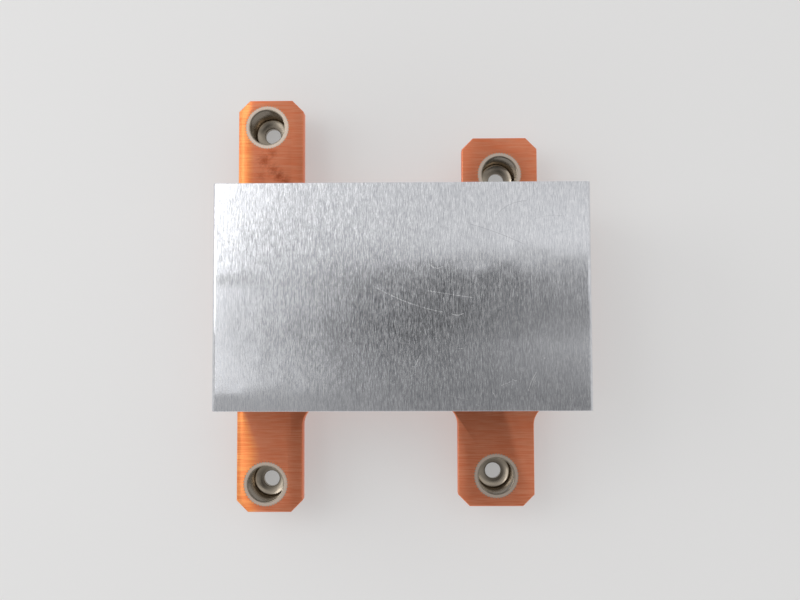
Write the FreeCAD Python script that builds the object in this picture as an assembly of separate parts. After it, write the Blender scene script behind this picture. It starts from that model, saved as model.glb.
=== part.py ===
import FreeCAD, Part
import math
import os

from FreeCAD import Vector

# A passive heatsink for a server's processor. A copper plate has four mounting ears, and
# a knurled steel cup is pressed into each ear to hold a screw and its spring. A stack of
# folded aluminium fins is soldered on the plate, under a folded aluminium cover.
# Millimetres. +X is the side away from the flush left ears, +Y the rear and +Z up.
# The origin is the centre of the outline, level with the undersides of the cups.

# Copper plate
plate_width = 82.3
plate_thickness = 4.0
body_depth = 50.8  # front to rear, without the ears
body_shift = 0.3  # the body's middle lies this far behind the origin
ear_chamfer = 2.8
ear_fillet = 5.0
edge_break = 0.2

# The two left ears are flush with the plate's left edge
left_ear_width = 16.25
left_hole_inset = 7.15  # screw axis to the plate's left edge
left_hole_span = 88.9  # between the two screw axes
left_tip_margin = 6.8  # screw axis to the ear's tip

# The two right ears are centred on their screw axes
right_ear_width = 18.7
rear_right_hole_inset = 16.95  # screw axis to the plate's right edge
rear_right_hole_y = 32.2
rear_right_tip_margin = 9.15
front_right_hole_inset = 18.4
front_right_hole_y = -42.5
front_right_tip_margin = 7.35

# Cups, turned in one piece, with the rim level with the plate's top face
cup_height = 10.8
cup_diameter = 10.0
cup_bore_diameter = 8.6
cup_floor = 1.5
cup_mouth_chamfer = 0.2
screw_hole_diameter = 4.0
knurl_diameter = 11.3
knurl_depth = 0.45
knurl_teeth = 48

# Cover, one sheet folded down at both sides, with its side walls flush with the plate
overall_height = 38.0  # undersides of the cups to the cover's top face
cover_depth = 49.7
cover_sheet = 0.6
cover_bend = 0.9  # outside radius

# Fins, each one sheet with a flange folded tight along its top and its bottom
fin_sheet = 0.4
fin_spacing = 2.1  # wanted; the pitch divides the cover's flat width evenly
fin_setback = 0.4  # fin ends behind the cover's front and rear edges

plate_top = cup_height
plate_bottom = plate_top - plate_thickness
cover_top = overall_height
fin_top = cover_top - cover_sheet
left_edge = -plate_width / 2
right_edge = plate_width / 2
front_edge = body_shift - body_depth / 2
rear_edge = body_shift + body_depth / 2

fin_stack_width = plate_width - 2 * cover_bend
fin_count = round(fin_stack_width / fin_spacing)
fin_pitch = fin_stack_width / fin_count

left_hole_x = left_edge + left_hole_inset
rear_right_hole_x = right_edge - rear_right_hole_inset
front_right_hole_x = right_edge - front_right_hole_inset
cup_places = {
    "cup_rear_left": (left_hole_x, left_hole_span / 2),
    "cup_front_left": (left_hole_x, -left_hole_span / 2),
    "cup_rear_right": (rear_right_hole_x, rear_right_hole_y),
    "cup_front_right": (front_right_hole_x, front_right_hole_y),
}


def outline_face(corners):
    # Flat face in XY from right-angled corners (x, y, shape, size), where shape is
    # "sharp", "chamfer" or "round" and size is the length taken off both sides.
    points = [Vector(x, y, 0) for x, y, shape, size in corners]
    edges = []
    last_end = None
    first_start = None
    for i, (x, y, shape, size) in enumerate(corners):
        point = points[i]
        back = (points[i - 1] - point).normalize()
        ahead = (points[(i + 1) % len(points)] - point).normalize()
        start = point + back * size
        end = point + ahead * size
        if last_end is None:
            first_start = start
        else:
            edges.append(Part.LineSegment(last_end, start).toShape())
        if shape == "chamfer":
            edges.append(Part.LineSegment(start, end).toShape())
        if shape == "round":
            inward = back + ahead
            middle = point + inward * (size * (1 - math.sqrt(0.5)))
            edges.append(Part.Arc(start, middle, end).toShape())
        last_end = end
    edges.append(Part.LineSegment(last_end, first_start).toShape())
    return Part.Face(Part.Wire(edges))


def sharp(x, y):
    return (x, y, "sharp", 0)


def rounded(x, y, radius):
    return (x, y, "round", radius)


def ear_tip(x, y):
    return (x, y, "chamfer", ear_chamfer)


def ear_root(x, y):
    return (x, y, "round", ear_fillet)


def plate_outline():
    # Anticlockwise from the rear left tip
    left_ear_edge = left_edge + left_ear_width
    left_tip = left_hole_span / 2 + left_tip_margin
    front_tip = front_right_hole_y - front_right_tip_margin
    front_ear_left = front_right_hole_x - right_ear_width / 2
    front_ear_right = front_right_hole_x + right_ear_width / 2
    rear_tip = rear_right_hole_y + rear_right_tip_margin
    rear_ear_left = rear_right_hole_x - right_ear_width / 2
    rear_ear_right = rear_right_hole_x + right_ear_width / 2
    return outline_face([
        ear_tip(left_edge, left_tip),
        ear_tip(left_edge, -left_tip),
        ear_tip(left_ear_edge, -left_tip),
        ear_root(left_ear_edge, front_edge),
        ear_root(front_ear_left, front_edge),
        ear_tip(front_ear_left, front_tip),
        ear_tip(front_ear_right, front_tip),
        ear_root(front_ear_right, front_edge),
        sharp(right_edge, front_edge),
        sharp(right_edge, rear_edge),
        ear_root(rear_ear_right, rear_edge),
        ear_tip(rear_ear_right, rear_tip),
        ear_tip(rear_ear_left, rear_tip),
        ear_root(rear_ear_left, rear_edge),
        ear_root(left_ear_edge, rear_edge),
        ear_tip(left_ear_edge, left_tip),
    ])


def knurl_prism(bottom, top):
    # V-shaped teeth that run straight up the pressed collar
    points = []
    for i in range(2 * knurl_teeth):
        radius = knurl_diameter / 2 - knurl_depth * (i % 2)
        angle = math.pi * i / knurl_teeth
        points.append(Vector(radius * math.cos(angle), radius * math.sin(angle), bottom))
    face = Part.Face(Part.makePolygon(points + points[:1]))
    return face.extrude(Vector(0, 0, top - bottom))


def make_plate():
    plate = plate_outline().extrude(Vector(0, 0, plate_thickness))
    plate.translate(Vector(0, 0, plate_bottom))
    level_edges = [
        edge for edge in plate.Edges
        if edge.BoundBox.ZLength < edge_break
    ]
    plate = plate.makeChamfer(edge_break, level_edges)
    for x, y in cup_places.values():
        hole = knurl_prism(plate_bottom, plate_top)
        hole.translate(Vector(x, y, 0))
        plate = plate.cut(hole)
    return plate


def make_cup(x, y):
    outer = cup_diameter / 2
    bore = cup_bore_diameter / 2
    hole = screw_hole_diameter / 2
    section = Part.Face(Part.makePolygon([
        Vector(hole, 0, 0),
        Vector(outer, 0, 0),
        Vector(outer, 0, cup_height),
        Vector(bore + cup_mouth_chamfer, 0, cup_height),
        Vector(bore, 0, cup_height - cup_mouth_chamfer),
        Vector(bore, 0, cup_floor),
        Vector(hole, 0, cup_floor),
        Vector(hole, 0, 0),
    ]))
    turned = section.revolve(Vector(0, 0, 0), Vector(0, 0, 1), 360)
    core = Part.makeCylinder(outer, cup_height)
    collar = knurl_prism(plate_bottom, plate_top).cut(core)
    cup = turned.fuse(collar).removeSplitter()
    cup.translate(Vector(x, y, 0))
    return cup


def folded_strip(corners, depth):
    # A sheet section drawn in X and Z, carried front to rear about the body's middle
    face = outline_face(corners)
    face.rotate(Vector(0, 0, 0), Vector(1, 0, 0), 90)
    face.translate(Vector(0, body_shift - depth / 2, 0))
    return face.extrude(Vector(0, depth, 0))


def make_cover():
    inner_left = left_edge + cover_sheet
    inner_right = right_edge - cover_sheet
    inner_bend = cover_bend - cover_sheet
    return folded_strip([
        sharp(left_edge, plate_top),
        sharp(inner_left, plate_top),
        rounded(inner_left, fin_top, inner_bend),
        rounded(inner_right, fin_top, inner_bend),
        sharp(inner_right, plate_top),
        sharp(right_edge, plate_top),
        rounded(right_edge, cover_top, cover_bend),
        rounded(left_edge, cover_top, cover_bend),
    ], cover_depth)


def make_fin(web_x):
    # The web stands at web_x, and both flanges reach the next fin's web. The folds are
    # tight: sharp inside, and as round outside as the sheet is thick.
    flange_end = web_x + fin_pitch
    inner_x = web_x + fin_sheet
    return folded_strip([
        sharp(flange_end, plate_top),
        sharp(flange_end, plate_top + fin_sheet),
        sharp(inner_x, plate_top + fin_sheet),
        sharp(inner_x, fin_top - fin_sheet),
        sharp(flange_end, fin_top - fin_sheet),
        sharp(flange_end, fin_top),
        rounded(web_x, fin_top, fin_sheet),
        rounded(web_x, plate_top, fin_sheet),
    ], cover_depth - 2 * fin_setback)


def main():
    os.makedirs("parts", exist_ok=True)
    pieces = {"copper_plate": make_plate(), "top_cover": make_cover()}
    for name, (x, y) in cup_places.items():
        pieces[name] = make_cup(x, y)
    for i in range(fin_count):
        web_x = fin_pitch * i - fin_stack_width / 2
        pieces[f"fin_{i + 1:02d}"] = make_fin(web_x)
    for name, shape in pieces.items():
        shape.exportStep(f"parts/{name}.step")
        print(f"{name}: {shape.Volume:.1f} mm3, valid {shape.isValid()}")


main()
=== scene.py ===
import math

import bmesh
import bpy
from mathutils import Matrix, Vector


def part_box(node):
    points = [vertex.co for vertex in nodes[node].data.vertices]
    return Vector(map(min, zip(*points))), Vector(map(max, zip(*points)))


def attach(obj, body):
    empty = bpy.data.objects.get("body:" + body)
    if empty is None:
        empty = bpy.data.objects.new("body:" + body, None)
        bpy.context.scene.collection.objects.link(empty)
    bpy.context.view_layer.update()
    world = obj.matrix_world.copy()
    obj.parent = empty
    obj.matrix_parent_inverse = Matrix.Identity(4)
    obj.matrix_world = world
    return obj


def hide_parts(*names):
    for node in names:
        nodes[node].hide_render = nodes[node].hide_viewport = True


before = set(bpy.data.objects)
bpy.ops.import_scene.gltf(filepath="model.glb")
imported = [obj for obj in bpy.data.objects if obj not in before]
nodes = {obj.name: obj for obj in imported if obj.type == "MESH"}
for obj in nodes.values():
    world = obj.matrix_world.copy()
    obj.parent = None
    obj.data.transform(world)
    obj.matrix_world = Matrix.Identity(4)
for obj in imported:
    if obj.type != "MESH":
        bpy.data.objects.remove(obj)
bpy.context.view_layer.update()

mm = 0.001  # in metres; lengths below are in millimetres
closeBy = 0.01  # for places that should agree
edgeAngle = 60  # degrees, edges sharper than this are rounded over
edgeSteps = 3
smoothAngle = 30  # degrees, edges flatter than this are shaded smooth
print("frame loaded:", len(nodes), "nodes")


def deselectAll():
    bpy.ops.object.select_all(action="DESELECT")


def activate(obj):
    deselectAll()
    obj.select_set(True)
    bpy.context.view_layer.objects.active = obj


def startPiece(name):
    # names the primitive that was just added and opens it with nothing selected
    obj = bpy.context.object
    obj.name = name
    obj.data.name = name
    bpy.ops.object.transform_apply(location=True, rotation=True, scale=True)
    bpy.ops.object.mode_set(mode="EDIT")
    bpy.ops.mesh.select_all(action="DESELECT")
    return obj


def pick(obj, kind, test):
    # selects only the vertices, edges or faces whose middle passes the test, in millimetres
    bpy.ops.mesh.select_mode(type={"verts": "VERT", "edges": "EDGE", "faces": "FACE"}[kind])
    bpy.ops.mesh.select_all(action="DESELECT")
    mesh = bmesh.from_edit_mesh(obj.data)
    for item in getattr(mesh, kind):
        corners = [item] if kind == "verts" else item.verts
        middle = sum((corner.co for corner in corners), Vector()) / len(corners) / mm
        if test(middle, item):
            item.select_set(True)
    bmesh.update_edit_mesh(obj.data)


def applyModifier(obj, kind, **settings):
    activate(obj)
    modifier = obj.modifiers.new(kind.lower(), kind)
    for name, value in settings.items():
        setattr(modifier, name, value)
    bpy.ops.object.modifier_apply(modifier=modifier.name)


def finishPiece(obj):
    activate(obj)
    bpy.ops.object.shade_smooth_by_angle(angle=math.radians(smoothAngle))
    print("made", obj.name, len(obj.data.polygons), "faces")


def linear(hexColour):
    # sRGB hex to the linear values that shaders read
    channels = [int(hexColour[i:i + 2], 16) / 255 for i in (0, 2, 4)]
    return [c / 12.92 if c <= 0.04045 else ((c + 0.055) / 1.055) ** 2.4 for c in channels] + [1.0]


def addNode(tree, kind, inputs=None, **settings):
    # an input is a plain value, a node's output, or a node, which gives its first output
    node = tree.nodes.new("ShaderNode" + kind)
    for name, value in settings.items():
        setattr(node, name, value)
    for socket, value in (inputs or {}).items():
        if isinstance(value, bpy.types.Node):
            value = value.outputs[0]
        if isinstance(value, bpy.types.NodeSocket):
            tree.links.new(value, node.inputs[socket])
        else:
            node.inputs[socket].default_value = value
    return node


cameraSettings = {
    "place": (2.47, -10.06, 221.67),  # mm, almost straight above the plate
    "turn": (2.953, 0.883, -0.189),  # degrees
    "lens": 38.25,
    "sensor": 36.0,
    "nearest": 5,  # mm, nothing nearer than this is seen
}
bpy.ops.object.camera_add(
    location=[v * mm for v in cameraSettings["place"]],
    rotation=[math.radians(v) for v in cameraSettings["turn"]])
camera = bpy.context.object
camera.data.lens = cameraSettings["lens"]
camera.data.sensor_width = cameraSettings["sensor"]
camera.data.clip_start = cameraSettings["nearest"] * mm
bpy.context.scene.camera = camera
print("camera placed")


coverSettings = {
    "sheet": 0.6,
    "bend": 0.9,  # outside radius
    "bendSteps": 8,
    "rollover": 0.12,  # the sheared edges are rolled over a little
}


def makeCover():
    low, high = [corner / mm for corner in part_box("top_cover")]
    size = high - low
    middle = (low + high) / 2
    deselectAll()
    bpy.ops.mesh.primitive_plane_add(size=1, location=(middle.x * mm, middle.y * mm, high.z * mm))
    bpy.context.object.scale = (size.x * mm, size.y * mm, 1)
    cover = startPiece("topCover")
    pick(cover, "edges", lambda at, edge: abs(abs(at.x - middle.x) - size.x / 2) < closeBy)
    bpy.ops.mesh.extrude_region_move(TRANSFORM_OT_translate={"value": (0, 0, -size.z * mm)})
    pick(cover, "edges", lambda at, edge: abs(at.z - high.z) < closeBy
         and abs(abs(at.x - middle.x) - size.x / 2) < closeBy)
    bpy.ops.mesh.bevel(offset=coverSettings["bend"] * mm, segments=coverSettings["bendSteps"])
    bpy.ops.mesh.select_all(action="SELECT")
    bpy.ops.mesh.normals_make_consistent(inside=False)
    bpy.ops.object.mode_set(mode="OBJECT")
    topFace = max(cover.data.polygons, key=lambda face: face.area)
    if topFace.normal.z < 0:
        cover.data.flip_normals()
    applyModifier(cover, "SOLIDIFY", thickness=coverSettings["sheet"] * mm, offset=-1, use_even_offset=True)
    applyModifier(cover, "BEVEL", width=coverSettings["rollover"] * mm, segments=edgeSteps,
                  limit_method="ANGLE", angle_limit=math.radians(edgeAngle))
    finishPiece(cover)
    return cover


topCover = makeCover()


plateSettings = {
    "thickness": 4.0,
    "chamfer": 2.8,
    "fillet": 5.0,
    "filletSteps": 12,
    "edgeBreak": 0.2,
    # the ears' widths, and how far each tip lies beyond its screw's axis
    "leftEarWidth": 16.25,
    "leftTipMargin": 6.8,
    "rightEarWidth": 18.7,
    "rearRightTipMargin": 9.15,
    "frontRightTipMargin": 7.35,
    "bodyDepth": 50.8,  # front to rear, without the ears
    "bodyShift": 0.3,  # the body's middle lies this far behind the origin
    "merge": 0.001,  # points nearer than this become one
    "flatAngle": 1,  # degrees, edges flatter than this go
}
knurlSettings = {
    "diameter": 11.3,
    "depth": 0.45,
    "teeth": 48,
    "overrun": 1,  # the cutter stands this far past both faces of the plate
}


def cupAxis(name):
    low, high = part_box(name)
    return (low + high) / 2 / mm


cupNames = ["cup_rear_left", "cup_front_left", "cup_rear_right", "cup_front_right"]


def makeKnurlCutter(axis, low, high):
    # a cylinder whose every second side edge is drawn in, so that V teeth run up it
    deselectAll()
    bpy.ops.mesh.primitive_cylinder_add(
        vertices=2 * knurlSettings["teeth"], radius=knurlSettings["diameter"] / 2 * mm,
        depth=(high - low) * mm, location=(axis.x * mm, axis.y * mm, (low + high) / 2 * mm))
    cutter = startPiece("knurlCutter")
    step = math.pi / knurlSettings["teeth"]

    def inGroove(at, vertex):
        turn = math.atan2(at.y - axis.y, at.x - axis.x) / step
        return round(turn) % 2 == 1

    pick(cutter, "verts", inGroove)
    shrink = 1 - 2 * knurlSettings["depth"] / knurlSettings["diameter"]
    bpy.ops.transform.resize(value=(shrink, shrink, 1), center_override=(axis.x * mm, axis.y * mm, 0))
    bpy.ops.object.mode_set(mode="OBJECT")
    return cutter


def makePlate():
    low, high = [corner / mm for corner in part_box("copper_plate")]
    rear = plateSettings["bodyShift"] + plateSettings["bodyDepth"] / 2
    front = plateSettings["bodyShift"] - plateSettings["bodyDepth"] / 2
    axes = {name: cupAxis(name) for name in cupNames}
    half = plateSettings["rightEarWidth"] / 2
    leftEdge = low.x + plateSettings["leftEarWidth"]
    # each ear: its left side, right side, root and tip
    ears = [
        (low.x, leftEdge, rear, axes["cup_rear_left"].y + plateSettings["leftTipMargin"]),
        (low.x, leftEdge, front, axes["cup_front_left"].y - plateSettings["leftTipMargin"]),
        (axes["cup_rear_right"].x - half, axes["cup_rear_right"].x + half, rear,
         axes["cup_rear_right"].y + plateSettings["rearRightTipMargin"]),
        (axes["cup_front_right"].x - half, axes["cup_front_right"].x + half, front,
         axes["cup_front_right"].y - plateSettings["frontRightTipMargin"]),
    ]
    deselectAll()
    bpy.ops.mesh.primitive_plane_add(size=1, location=(0, (front + rear) / 2 * mm, high.z * mm))
    bpy.context.object.scale = ((high.x - low.x) * mm, (rear - front) * mm, 1)
    plate = startPiece("copperPlate")
    for x in sorted({side for ear in ears for side in ear[:2]} - {low.x}):
        bpy.ops.mesh.select_all(action="SELECT")
        bpy.ops.mesh.bisect(plane_co=(x * mm, 0, 0), plane_no=(1, 0, 0))
    for left, right, root, tip in ears:
        pick(plate, "edges", lambda at, edge: abs(at.y - root) < closeBy and left < at.x < right
             and abs(edge.verts[0].co.y - edge.verts[1].co.y) < closeBy * mm)
        bpy.ops.mesh.extrude_region_move(TRANSFORM_OT_translate={"value": (0, (tip - root) * mm, 0)})
    bpy.ops.mesh.select_all(action="SELECT")
    bpy.ops.mesh.remove_doubles(threshold=plateSettings["merge"] * mm)
    bpy.ops.mesh.dissolve_limited(angle_limit=math.radians(plateSettings["flatAngle"]))
    tips = [ear[3] for ear in ears]
    pick(plate, "verts", lambda at, vertex: any(abs(at.y - tip) < closeBy for tip in tips))
    bpy.ops.mesh.bevel(offset=plateSettings["chamfer"] * mm, segments=1, affect="VERTICES")
    roots = [(x, ear[2]) for ear in ears for x in ear[:2] if x > low.x]
    pick(plate, "verts", lambda at, vertex: any(
        abs(at.x - x) < closeBy and abs(at.y - y) < closeBy for x, y in roots))
    bpy.ops.mesh.bevel(offset=plateSettings["fillet"] * mm, segments=plateSettings["filletSteps"],
                       affect="VERTICES")
    bpy.ops.mesh.select_all(action="SELECT")
    bpy.ops.mesh.extrude_region_move(
        TRANSFORM_OT_translate={"value": (0, 0, -plateSettings["thickness"] * mm)})
    bpy.ops.mesh.select_all(action="SELECT")
    bpy.ops.mesh.normals_make_consistent(inside=False)
    bpy.ops.object.mode_set(mode="OBJECT")
    applyModifier(plate, "BEVEL", width=plateSettings["edgeBreak"] * mm, segments=edgeSteps,
                  limit_method="ANGLE", angle_limit=math.radians(edgeAngle))
    overrun = knurlSettings["overrun"]
    for name in cupNames:
        cutter = makeKnurlCutter(axes[name], low.z - overrun, high.z + overrun)
        applyModifier(plate, "BOOLEAN", operation="DIFFERENCE", object=cutter, solver="EXACT")
        bpy.data.objects.remove(cutter)
    finishPiece(plate)
    return plate


copperPlate = makePlate()


cupSettings = {
    "height": 10.8,
    "outer": 5.0,  # radii
    "bore": 4.3,
    "hole": 2.0,
    "holeBreak": 0.1,
    "floor": 1.5,
    "mouthRound": 0.2,
    "floorRound": 0.5,  # the turning tool's nose leaves it between the wall and the floor
    "dishRadius": 3.0,  # from here out, the floor rises a little towards the wall
    "dishAngle": 18,
    "footRound": 0.3,
    "collar": 4.0,
    "toothedRim": 0.2,  # on the rim, the teeth end this far outside the outer radius
    "roundSteps": 6,
    "merge": 0.005,  # points nearer than this become one
}


def makeFirstCup(axis):
    # a ring of points is extruded and scaled from the screw hole out, up and back in
    s = cupSettings
    tip = knurlSettings["diameter"] / 2
    hole, holeBreak = s["hole"], s["holeBreak"]
    profile = [(hole, s["floor"] - holeBreak), (hole, holeBreak), (hole + holeBreak, 0)]
    steps = s["roundSteps"]

    def arc(centre, radius, start, stop):
        for i in range(steps + 1):
            angle = math.radians(start + (stop - start) * i / steps)
            profile.append((centre[0] + radius * math.cos(angle), centre[1] + radius * math.sin(angle)))

    foot = s["footRound"]
    arc((s["outer"] - foot, foot), foot, -90, 0)
    collarLow = s["height"] - s["collar"]
    profile.append((s["outer"], collarLow))
    profile.append((tip, collarLow))
    profile.append((tip, s["height"]))
    profile.append((s["outer"] + s["toothedRim"], s["height"]))
    mouth = s["mouthRound"]
    arc((s["bore"] + mouth, s["height"] - mouth), mouth, 90, 180)
    corner = s["floorRound"]
    slope = math.radians(s["dishAngle"])
    dishEnd = s["bore"] - corner * (1 - math.sin(slope))
    dishTop = s["floor"] + (dishEnd - s["dishRadius"]) * math.tan(slope)
    arc((s["bore"] - corner, dishTop + corner * math.cos(slope)), corner, 0, s["dishAngle"] - 90)
    profile.append((s["dishRadius"], s["floor"]))
    profile.append((hole + holeBreak, s["floor"]))

    columns = 2 * knurlSettings["teeth"]
    radius, height = profile[0]
    deselectAll()
    bpy.ops.mesh.primitive_circle_add(
        vertices=columns, radius=radius * mm, fill_type="NOTHING",
        location=(axis.x * mm, axis.y * mm, height * mm))
    cup = startPiece("cup")
    bpy.ops.mesh.select_all(action="SELECT")
    for nextRadius, nextHeight in profile[1:] + profile[:1]:
        bpy.ops.mesh.extrude_region_move(
            TRANSFORM_OT_translate={"value": (0, 0, (nextHeight - height) * mm)})
        scale = nextRadius / radius
        bpy.ops.transform.resize(value=(scale, scale, 1), center_override=(axis.x * mm, axis.y * mm, 0))
        radius, height = nextRadius, nextHeight
    bpy.ops.mesh.select_all(action="SELECT")
    bpy.ops.mesh.remove_doubles(threshold=s["merge"] * mm)
    bpy.ops.mesh.normals_make_consistent(inside=False)
    step = math.pi / knurlSettings["teeth"]

    def inGroove(at, vertex):
        across = math.hypot(at.x - axis.x, at.y - axis.y)
        turn = math.atan2(at.y - axis.y, at.x - axis.x) / step
        return across > tip - closeBy and round(turn) % 2 == 1

    pick(cup, "verts", inGroove)
    shrink = 1 - knurlSettings["depth"] / tip
    bpy.ops.transform.resize(value=(shrink, shrink, 1), center_override=(axis.x * mm, axis.y * mm, 0))
    bpy.ops.object.mode_set(mode="OBJECT")
    # the lathe's marks follow this distance from the axis
    radial = cup.data.attributes.new("turnedRadius", "FLOAT", "POINT")
    for vertex, entry in zip(cup.data.vertices, radial.data):
        entry.value = math.hypot(vertex.co.x / mm - axis.x, vertex.co.y / mm - axis.y)
    finishPiece(cup)
    return cup


def makeCups():
    firstAxis = cupAxis(cupNames[0])
    first = makeFirstCup(firstAxis)
    cups = {cupNames[0]: first}
    for name in cupNames[1:]:
        activate(first)
        bpy.ops.object.duplicate(linked=False)
        cup = bpy.context.object
        axis = cupAxis(name)
        cup.location = ((axis.x - firstAxis.x) * mm, (axis.y - firstAxis.y) * mm, 0)
        bpy.ops.object.transform_apply(location=True, rotation=False, scale=False)
        cups[name] = cup
    for name, cup in cups.items():
        words = name.split("_")
        cup.name = words[0] + "".join(word.title() for word in words[1:])
        cup.data.name = cup.name
    return cups


cups = makeCups()


def startMaterial(name):
    material = bpy.data.materials.new(name)
    material.use_nodes = True
    tree = material.node_tree
    tree.nodes.clear()
    place = addNode(tree, "TexCoord").outputs["Object"]
    inMm = addNode(tree, "VectorMath", {0: place, 1: [1 / mm] * 3}, operation="MULTIPLY")
    return material, tree, inMm


def finishMaterial(tree, look):
    shader = addNode(tree, "BsdfPrincipled", look)
    addNode(tree, "OutputMaterial", {"Surface": shader})


def streaks(tree, place, pattern):
    # noise drawn out along one direction: a cell's size in x and y in mm, the finer in z too
    x, y = pattern["cell"]
    perMm = [1 / size for size in (x, y, min(x, y))]
    drawnOut = addNode(tree, "VectorMath", {0: place, 1: perMm}, operation="MULTIPLY")
    return addNode(tree, "TexNoise", {"Vector": drawnOut, "Scale": 1.0, "Detail": pattern["detail"],
                                      "Roughness": pattern["roughness"]})


# Light scratches in the cover's top face, in millimetres: the middle (x, y), the way it
# runs in degrees, its length, its bend radius (to the left is positive, 0 is straight)
# and how strong it is
brightScratches = [
    (-13.3, 2.1, -3, 18.6, 103, 0.15),
    (1.1, -1.0, -21, 16.6, 46.5, 0.33),
    (12.1, -3.9, 2, 3.0, 2.5, 0.54),
    (7.6, 6.3, -5, 3.1, 1.8, 0.42),
    (10.7, 0.6, -9, 10.2, 0, 0.3),
    (9.2, -0.6, -80, 1.4, 0, 0.3),
    (27.9, -18.1, -114, 4.7, 11.5, 0.48),
    (28.4, -18.2, -112, 2.8, 12, 0.36),
    (30.8, -13.2, -107, 0.7, 0, 0.48),
    (3.6, -13.4, -116, 3.0, 0, 0.54),
    (2.4, -14.9, -5, 1.0, 1.1, 0.3),
    (2.6, -15.9, -90, 2.2, 2.9, 0.21),
    (12.7, -11.1, 0, 1.3, 0, 0.36),
    (0.7, -9.9, -6, 2.2, 0, 0.21),
    (12.5, -21.7, -12, 5.2, 0, 0.21),
    (16.3, -23.3, -10, 1.0, 0.9, 0.3),
    (19.9, -21.1, -67, 1.3, 0, 0.54),
    (22.6, -18.6, 22, 3.1, 31.8, 0.3),
    (24.3, -18.0, -19, 1.4, 1.5, 0.42),
]
darkScratches = [
    (20.9, 13.9, -21, 12.6, -78, 0.4),
    (23.6, 20.1, 25, 7.8, -8.5, 0.35),
    (31.9, 17.6, 6, 6.7, -13, 0.2),
    (34.3, 14.0, 14, 3.9, -12.4, 0.2),
]
scratchSettings = {
    "width": 0.11,  # from the line to where nothing is left of it
    "core": 0.2,  # this share of the width has the full strength
    "fade": 0.25,  # the ends fade over this length
    "straightRadius": 400.0,  # stands for no bend
}


def scratchMask(tree, place, marks):
    # each mark is a stretch of a circle: near the circle's line and near the mark's middle
    s = scratchSettings
    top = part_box("top_cover")[1].z / mm
    mask = 0.0
    for x, y, angle, length, bend, strength in marks:
        radius = bend or s["straightRadius"]
        turn = math.radians(angle)
        centre = (x - radius * math.sin(turn), y + radius * math.cos(turn), top)
        toCentre = addNode(tree, "VectorMath", {0: place, 1: centre}, operation="DISTANCE")
        toMiddle = addNode(tree, "VectorMath", {0: place, 1: (x, y, top)}, operation="DISTANCE")
        beyond = addNode(tree, "Math", {0: toCentre.outputs["Value"], 1: abs(radius)}, operation="SUBTRACT")
        offLine = addNode(tree, "Math", {0: beyond}, operation="ABSOLUTE")
        onLine = addNode(tree, "MapRange", {
            "Value": offLine, "From Min": s["width"], "From Max": s["core"] * s["width"]})
        inReach = addNode(tree, "MapRange", {
            "Value": toMiddle.outputs["Value"], "From Min": length / 2, "From Max": length / 2 - s["fade"]})
        mark = addNode(tree, "Math", {0: onLine, 1: inReach}, operation="MULTIPLY")
        mark = addNode(tree, "Math", {0: mark, 1: strength}, operation="MULTIPLY")
        mask = addNode(tree, "Math", {0: mark, 1: mask}, operation="MAXIMUM")
    return mask


aluminiumSettings = {
    "groove": "C9CBD1",  # between the bright strokes
    "stroke": "F0F1F4",
    "brightScratch": "FFFFFF",
    "darkScratch": "A2A3A8",
    # sizes in mm, wider than most real strokes, which would be too fine to show
    "shortStrokes": {"cell": (0.14, 1.2), "detail": 3.0, "roughness": 0.65},
    "longStrokes": {"cell": (0.14, 3.0), "detail": 2.0, "roughness": 0.6},
    "longShare": 0.25,
    "contrast": (0.36, 0.64),  # what the noise gives in a groove and on a stroke
    "clouds": {"Scale": 0.09, "Detail": 2.0},  # scales are in cells per mm
    "roughness": 0.07,
    "strokeRoughness": 0.15,  # these three add to it
    "cloudRoughness": 0.03,
    "scratchRoughness": 0.25,
    "anisotropic": 0.95,
    "grain": {"Strength": 1.0, "Distance": 0.01 * mm},
    "wave": {"Strength": 0.3, "Distance": 0.5 * mm},
}


def brushedAluminium():
    # Bare aluminium sheet, brushed front to rear: short bright strokes that run one way and
    # reflections drawn out across them
    s = aluminiumSettings
    material, tree, place = startMaterial("brushedAluminium")
    short = streaks(tree, place, s["shortStrokes"])
    long = streaks(tree, place, s["longStrokes"])
    shortPart = addNode(tree, "Math", {0: short, 1: 1 - s["longShare"]}, operation="MULTIPLY")
    fine = addNode(tree, "Math", {0: long, 1: s["longShare"], 2: shortPart}, operation="MULTIPLY_ADD")
    low, high = s["contrast"]
    strokes = addNode(tree, "MapRange", {"Value": fine, "From Min": low, "From Max": high})
    clouds = addNode(tree, "TexNoise", {"Vector": place, **s["clouds"]})
    bright = scratchMask(tree, place, brightScratches)
    dark = scratchMask(tree, place, darkScratches)
    shade = addNode(tree, "Mix", {0: strokes, 6: linear(s["groove"]), 7: linear(s["stroke"])},
                    data_type="RGBA").outputs[2]
    for mask, colour in ((bright, "brightScratch"), (dark, "darkScratch")):
        shade = addNode(tree, "Mix", {0: mask, 6: shade, 7: linear(s[colour])}, data_type="RGBA").outputs[2]
    rough = s["roughness"]
    for pattern, share in ((strokes, "strokeRoughness"), (clouds, "cloudRoughness"),
                           (bright, "scratchRoughness")):
        rough = addNode(tree, "Math", {0: pattern, 1: s[share], 2: rough}, operation="MULTIPLY_ADD")
    grain = addNode(tree, "Bump", {"Height": fine, **s["grain"]})
    wave = addNode(tree, "Bump", {"Height": clouds, "Normal": grain, **s["wave"]})
    finishMaterial(tree, {
        "Base Color": shade,
        "Metallic": 1.0,
        "Roughness": rough,
        "Anisotropic": s["anisotropic"],
        "Tangent": addNode(tree, "Tangent", direction_type="RADIAL", axis="Y"),
        "Normal": wave,
    })
    return material


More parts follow.
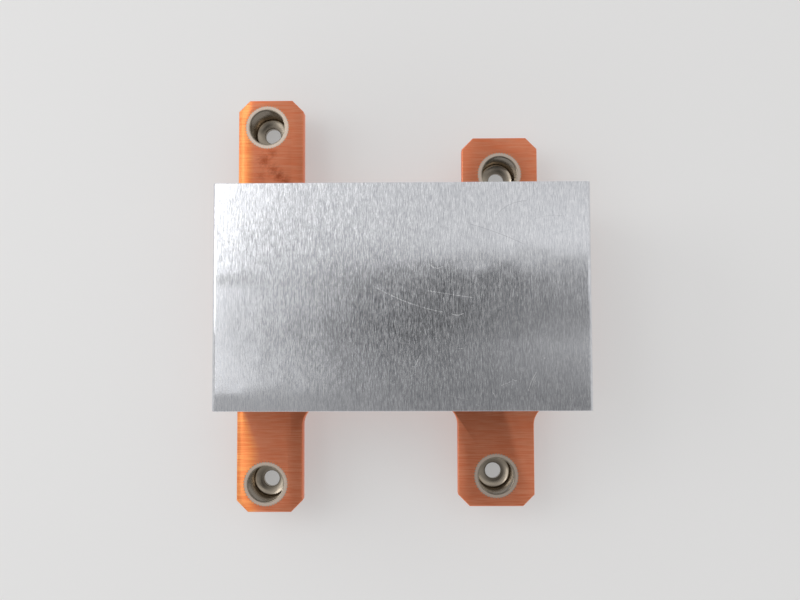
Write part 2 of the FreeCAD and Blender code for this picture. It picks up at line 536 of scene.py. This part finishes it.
# tarnish on the plate's top face: the middle (x, y) and the radius in mm, and the strength
tarnishSpots = [
    (-34.7, 36.0, 3.4, 0.7),
    (-32.7, 37.9, 2.6, 0.5),
    (-32.4, 33.6, 3.2, 0.6),
    (-31.0, 32.2, 3.2, 0.8),
    (-29.5, 30.8, 2.8, 0.7),
    (-35.5, 32.0, 3.0, 0.4),
]
tarnishSettings = {
    "fray": {"Scale": 1.3, "Detail": 5.0, "Roughness": 0.65},  # cells per mm
    "frayShare": 2.2,  # how much the noise counts against the distance from the middle
    "edge": (1.35, 2.05),  # where a spot begins and where it is full
}


def tarnishMask(tree, place):
    # frayed spots that fade outwards
    s = tarnishSettings
    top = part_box("copper_plate")[1].z / mm
    frayed = addNode(tree, "TexNoise", {"Vector": place, **s["fray"]})
    low, high = s["edge"]
    mask = 0.0
    for x, y, radius, strength in tarnishSpots:
        away = addNode(tree, "VectorMath", {0: place, 1: (x, y, top)}, operation="DISTANCE")
        near = addNode(tree, "MapRange", {
            "Value": away.outputs["Value"], "From Min": radius, "From Max": 0.0})
        uneven = addNode(tree, "Math", {0: frayed, 1: s["frayShare"], 2: near}, operation="MULTIPLY_ADD")
        spot = addNode(tree, "MapRange", {"Value": uneven, "From Min": low, "From Max": high})
        weight = addNode(tree, "Math", {0: near, 1: strength}, operation="MULTIPLY")
        spot = addNode(tree, "Math", {0: spot, 1: weight}, operation="MULTIPLY")
        mask = addNode(tree, "Math", {0: spot, 1: mask}, operation="MAXIMUM")
    return mask


groundEdge = {
    # how far in the left edge falls away, from one y to another in mm, and elsewhere
    "widths": [(-24.0, -36.0, 6.0), (20.0, 24.0, 4.0)],
    "elsewhere": 1.0,
    "tilt": 0.14,  # how steep it gets
    "topOnly": (0.3, 0.1),  # depths below the top face where it ends and where it is full
}


def leftEdgeFall(tree, place):
    # grinding has let the top face fall away a little at the left edge: how near the edge
    # (0 to 1, on the top face alone), which places the painted reflection, and the height in millimetres
    s = groundEdge
    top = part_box("copper_plate")[1].z / mm
    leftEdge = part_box("copper_plate")[0].x / mm
    axes = addNode(tree, "SeparateXYZ", {"Vector": place})
    inset = addNode(tree, "Math", {0: axes.outputs["X"], 1: leftEdge}, operation="SUBTRACT")
    width = s["elsewhere"]
    for near, far, reach in s["widths"]:
        band = addNode(tree, "MapRange", {
            "Value": axes.outputs["Y"], "From Min": near, "From Max": far,
            "To Min": s["elsewhere"], "To Max": reach})
        width = addNode(tree, "Math", {0: band, 1: width}, operation="MAXIMUM")
    share = addNode(tree, "Math", {0: inset, 1: width}, operation="DIVIDE")
    inBand = addNode(tree, "MapRange", {"Value": share, "To Min": 1.0, "To Max": 0.0})
    square = addNode(tree, "Math", {0: inBand, 1: inBand}, operation="MULTIPLY")
    drop = addNode(tree, "Math", {0: square, 1: width}, operation="MULTIPLY")
    ends, full = s["topOnly"]
    onTop = addNode(tree, "MapRange", {
        "Value": axes.outputs["Z"], "From Min": top - ends, "From Max": top - full})
    nearEdge = addNode(tree, "Math", {0: inBand, 1: onTop}, operation="MULTIPLY")
    return nearEdge, addNode(tree, "Math", {0: drop, 1: -s["tilt"] / 2}, operation="MULTIPLY")


copperSettings = {
    "groove": "F5895F",  # between the grinding's bright lines
    "line": "FFA680",
    "edgeReflectionGroove": "EE8048",  # painted reflection of the bright light from the left, along the left edge where the top face falls away
    "edgeReflectionLine": "FFB067",
    "patch": "D26C44",
    "tarnish": "B04A28",
    # sizes in mm, wider than most real lines, which would be too fine to show
    "grinding": {"cell": (5.0, 0.17), "detail": 2.0, "roughness": 0.5},
    "contrast": (0.36, 0.64),  # what the noise gives in a groove and on a line
    "edgeReflectionFull": 0.4,  # how near the edge the painted reflection's colours are full
    "edgeReflectionShare": 0.85,
    "patches": {"Scale": 0.12, "Detail": 3.0},  # cells per mm
    "patchEdge": (0.52, 0.8),
    "patchShare": 0.35,
    "roughness": 0.28,
    "lineRoughness": 0.08,  # adds to it
    "anisotropic": 0.98,
    "grain": {"Strength": 0.4, "Distance": 0.04 * mm},
    "fall": {"Strength": 1.0, "Distance": 1.0 * mm},
}


def groundCopper():
    # Bare copper, ground along the body's long side: warm orange with fine lines, a few brown
    # spots of tarnish, and a yellower painted reflection of the light from the left along the left edge
    s = copperSettings
    material, tree, place = startMaterial("groundCopper")
    fine = streaks(tree, place, s["grinding"])
    low, high = s["contrast"]
    lines = addNode(tree, "MapRange", {"Value": fine, "From Min": low, "From Max": high})
    nearEdge, fallen = leftEdgeFall(tree, place)
    # painted reflection: near the left edge the copper takes yellower colours that stand in for the bright
    # light it reflects from the left
    paintedEdgeReflection = addNode(tree, "MapRange", {"Value": nearEdge, "From Min": 0.0, "From Max": s["edgeReflectionFull"]})
    paintedEdgeReflection = addNode(tree, "Math", {0: paintedEdgeReflection, 1: s["edgeReflectionShare"]}, operation="MULTIPLY")
    patches = addNode(tree, "TexNoise", {"Vector": place, **s["patches"]})
    low, high = s["patchEdge"]
    inPatch = addNode(tree, "MapRange", {"Value": patches, "From Min": low, "From Max": high})
    inPatch = addNode(tree, "Math", {0: inPatch, 1: s["patchShare"]}, operation="MULTIPLY")
    shade = addNode(tree, "Mix", {0: lines, 6: linear(s["groove"]), 7: linear(s["line"])},
                    data_type="RGBA").outputs[2]
    edgeReflectionShade = addNode(tree, "Mix", {0: lines, 6: linear(s["edgeReflectionGroove"]), 7: linear(s["edgeReflectionLine"])},
                        data_type="RGBA").outputs[2]
    for mask, colour in ((paintedEdgeReflection, edgeReflectionShade), (inPatch, linear(s["patch"])),
                         (tarnishMask(tree, place), linear(s["tarnish"]))):
        shade = addNode(tree, "Mix", {0: mask, 6: shade, 7: colour}, data_type="RGBA").outputs[2]
    rough = addNode(tree, "Math", {0: lines, 1: s["lineRoughness"], 2: s["roughness"]},
                    operation="MULTIPLY_ADD")
    grain = addNode(tree, "Bump", {"Height": fine, **s["grain"]})
    fall = addNode(tree, "Bump", {"Height": fallen, "Normal": grain, **s["fall"]})
    finishMaterial(tree, {
        "Base Color": shade,
        "Metallic": 1.0,
        "Roughness": rough,
        "Anisotropic": s["anisotropic"],
        "Tangent": addNode(tree, "Tangent", direction_type="RADIAL", axis="X"),
        "Normal": fall,
    })
    return material


steelSettings = {
    # painted shade: the bore is darker than the rim, standing in for the shade down the deep bore
    "bore": "A89D8E",
    # painted light: the rim's lighter colour stands in for the light its edges catch
    "rim": "DCCBBC",
    "teeth": "B7805F",
    # distances from the axis in mm, over which the rim's colour and then the teeth's comes in
    "rimEdge": (4.5, 4.7),
    "teethEdge": (5.2, 5.6),
    "ringsPerMm": 2.5,
    "rings": {"Scale": 1.0, "Detail": 2.0},
    "dull": {"Scale": 1.6, "Detail": 3.0},  # cells per mm
    "roughness": 0.17,
    "rimRoughness": 0.17,  # these two add to it
    "dullRoughness": 0.04,
    "turning": {"Strength": 0.6, "Distance": 0.01 * mm},
}


def nickelPlatedSteel():
    # Turned steel with bright nickel plate: grey, glossy, with rings from the lathe that are
    # drawn about 0.4 mm apart, coarser than real ones, so that they show; the bore is painted darker as
    # shade, the rim lighter as the light it catches
    s = steelSettings
    material, tree, place = startMaterial("nickelPlatedSteel")
    radial = addNode(tree, "Attribute", attribute_name="turnedRadius").outputs["Fac"]
    outwards = addNode(tree, "Math", {0: radial, 1: s["ringsPerMm"]}, operation="MULTIPLY")
    rings = addNode(tree, "TexNoise", {"W": outwards, **s["rings"]}, noise_dimensions="1D").outputs["Fac"]
    dull = addNode(tree, "TexNoise", {"Vector": place, **s["dull"]})
    low, high = s["rimEdge"]
    onRim = addNode(tree, "MapRange", {"Value": radial, "From Min": low, "From Max": high})
    low, high = s["teethEdge"]
    onTeeth = addNode(tree, "MapRange", {"Value": radial, "From Min": low, "From Max": high})
    # painted shade in the bore, painted light on the rim
    shade = addNode(tree, "Mix", {0: onRim, 6: linear(s["bore"]), 7: linear(s["rim"])},
                    data_type="RGBA").outputs[2]
    shade = addNode(tree, "Mix", {0: onTeeth, 6: shade, 7: linear(s["teeth"])}, data_type="RGBA").outputs[2]
    rough = s["roughness"]
    for pattern, share in ((onRim, "rimRoughness"), (dull, "dullRoughness")):
        rough = addNode(tree, "Math", {0: pattern, 1: s[share], 2: rough}, operation="MULTIPLY_ADD")
    finishMaterial(tree, {
        "Base Color": shade,
        "Metallic": 1.0,
        "Roughness": rough,
        "Normal": addNode(tree, "Bump", {"Height": rings, **s["turning"]}),
    })
    return material


finSettings = {
    "dark": "C9CCD1",
    "light": "E4E6EA",
    "perMm": (1.0, 0.2, 6.0),  # how fine the rolling's lines are in x, y and z
    "rolling": {"Scale": 1.0, "Detail": 2.0},
    "roughness": 0.22,
    "lineRoughness": 0.15,  # adds to it
    "grain": {"Strength": 0.2, "Distance": 0.02 * mm},
}


def rolledAluminium():
    # Thin aluminium strip as rolled: smooth, pale, with faint lines along the roll
    s = finSettings
    material, tree, place = startMaterial("rolledAluminium")
    drawnOut = addNode(tree, "VectorMath", {0: place, 1: s["perMm"]}, operation="MULTIPLY")
    rolled = addNode(tree, "TexNoise", {"Vector": drawnOut, **s["rolling"]})
    finishMaterial(tree, {
        "Base Color": addNode(tree, "Mix", {0: rolled, 6: linear(s["dark"]), 7: linear(s["light"])},
                              data_type="RGBA").outputs[2],
        "Metallic": 1.0,
        "Roughness": addNode(tree, "Math", {0: rolled, 1: s["lineRoughness"], 2: s["roughness"]},
                             operation="MULTIPLY_ADD"),
        "Normal": addNode(tree, "Bump", {"Height": rolled, **s["grain"]}),
    })
    return material


def paint(obj, material):
    obj.data.materials.clear()
    obj.data.materials.append(material)


paint(topCover, brushedAluminium())
paint(copperPlate, groundCopper())
cupMaterial = nickelPlatedSteel()
for cup in cups.values():
    paint(cup, cupMaterial)
finMaterial = rolledAluminium()
for name, node in nodes.items():
    if name.startswith("fin_"):
        node.material_slots[0].material = finMaterial
print("materials given")

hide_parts("top_cover")
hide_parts("copper_plate")
for name, cup in cups.items():
    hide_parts(name)
for piece in [topCover, copperPlate, *cups.values()]:
    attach(piece, "root")
print("pieces stand for their nodes")


# the floor glows a little to the eye and in reflections, and keeps the object's shadow
floorSettings = {"size": 3000, "colour": "B6B6B6", "roughness": 0.6, "glow": 0.34, "glowColour": "FFFEFD"}


def makeFloor():
    s = floorSettings
    deselectAll()
    bpy.ops.mesh.primitive_plane_add(size=s["size"] * mm)
    floor = bpy.context.object
    floor.name = "floor"
    material, tree, _ = startMaterial("paleTable")
    ray = addNode(tree, "LightPath").outputs
    seen = addNode(tree, "Math", {0: ray["Is Camera Ray"], 1: ray["Is Glossy Ray"]}, operation="ADD")
    seen = addNode(tree, "Math", {0: seen, 1: ray["Is Transmission Ray"]}, operation="ADD")
    finishMaterial(tree, {
        "Base Color": linear(s["colour"]),
        "Roughness": s["roughness"],
        "Emission Color": linear(s["glowColour"]),
        "Emission Strength": addNode(tree, "Math", {0: seen, 1: s["glow"]}, operation="MULTIPLY"),
    })
    paint(floor, material)
    print("floor laid")


lampSettings = {
    # softboxes: place, size, what they aim at, and strength in W
    "ceilingFar": {"at": (-615, 400, 1000), "size": (370, 500), "aim": (-615, 400, 0), "power": 1.27},
    "side": {"at": (-900, 200, 600), "size": (500, 500), "aim": (0, 0, 0), "power": 2.1},
    "ceilingFront": {"at": (-500, -100, 1000), "size": (300, 400), "aim": (-500, -100, 0), "power": 0.34},
}


def makeLamps():
    for name, lamp in lampSettings.items():
        spot = Vector(lamp["at"]) * mm
        aim = Vector(lamp["aim"]) * mm
        bpy.ops.object.light_add(type="AREA", location=spot)
        light = bpy.context.object
        light.name = name
        light.rotation_euler = (aim - spot).to_track_quat("-Z", "Y").to_euler()
        light.data.shape = "RECTANGLE"
        light.data.size = lamp["size"][0] * mm
        light.data.size_y = lamp["size"][1] * mm
        light.data.energy = lamp["power"]
    print("lamps hung:", len(lampSettings))


roomSettings = {
    # how bright the walls and ceiling are from the front (-1) to the rear (1), all plain grey
    "middle": {"strength": 1.0, "stops": [
        (-1, "D0D0D0"), (-0.4, "9A9A9A"), (-0.06, "101010"), (0.12, "606060"), (0.22, "C8C8C8"),
        (1, "F0F0F0")]},
    "left": {"strength": 1.0, "reach": (0.0, -0.25), "smooth": False, "stops": [
        (-1, "F0F0F0"), (-0.45, "404040"), (-0.2, "B0B0B0"), (0.12, "CCCCCC"), (0.22, "404040"),
        (0.5, "8C8C8C"), (1, "000000")]},
    "right": {"strength": 1.0, "reach": (0.0, 0.25), "smooth": False, "stops": [
        (-0.3, "000000"), (-0.1, "B4B4B4"), (0.1, "606060"), (0.25, "909090"), (0.5, "000000")]},
    "farLeft": {"strength": 2.9, "reach": (-0.15, -0.6), "smooth": True, "stops": [
        (-1, "5B5B5B"), (-0.45, "000000"), (0.5, "000000"), (1, "D4D4D4")]},
    "farRight": {"strength": 1.0, "reach": (0.15, 0.6), "smooth": True, "stops": [
        (-0.5, "808080"), (0.0, "202020"), (0.1, "E0E0E0"), (0.2, "000000"), (0.5, "000000"),
        (1, "959595")]},
}
wallSettings = {"low": 0.3, "high": 0.6, "colour": "DADADA"}  # low down, the walls are plain and pale


def makeWorld():
    # a room whose brightness changes from front to rear and towards both sides
    world = bpy.data.worlds.new("room")
    world.use_nodes = True
    bpy.context.scene.world = world
    tree = world.node_tree
    direction = addNode(tree, "TexCoord").outputs["Generated"]
    axes = addNode(tree, "SeparateXYZ", {"Vector": direction})
    towardsRear = addNode(tree, "Math", {0: axes.outputs["Y"], 1: 0.5, 2: 0.5}, operation="MULTIPLY_ADD")
    total = (0, 0, 0)
    for part in roomSettings.values():
        band = addNode(tree, "ValToRGB", {"Fac": towardsRear})
        elements = band.color_ramp.elements
        while len(elements) < len(part["stops"]):
            elements.new(1.0)
        for element, (height, colour) in zip(elements, part["stops"]):
            element.position = (height + 1) / 2
            element.color = linear(colour)
        strength = part["strength"]
        if "reach" in part:
            near, far = part["reach"]
            side = addNode(tree, "MapRange", {"Value": axes.outputs["X"], "From Min": near, "From Max": far},
                           interpolation_type="SMOOTHSTEP" if part["smooth"] else "LINEAR")
            strength = addNode(tree, "Math", {0: side, 1: strength}, operation="MULTIPLY")
        glow = addNode(tree, "VectorMath", {0: band, "Scale": strength}, operation="SCALE")
        total = addNode(tree, "VectorMath", {0: total, 1: glow}, operation="ADD")
    overhead = addNode(tree, "MapRange", {
        "Value": axes.outputs["Z"], "From Min": wallSettings["low"], "From Max": wallSettings["high"]},
        interpolation_type="SMOOTHSTEP")
    shown = addNode(tree, "Mix", {0: overhead, 6: linear(wallSettings["colour"]), 7: total},
                    data_type="RGBA").outputs[2]
    tree.links.new(shown, tree.nodes["Background"].inputs["Color"])
    print("room lit")


makeFloor()
makeLamps()
makeWorld()
bpy.context.scene.view_settings.view_transform = "Standard"
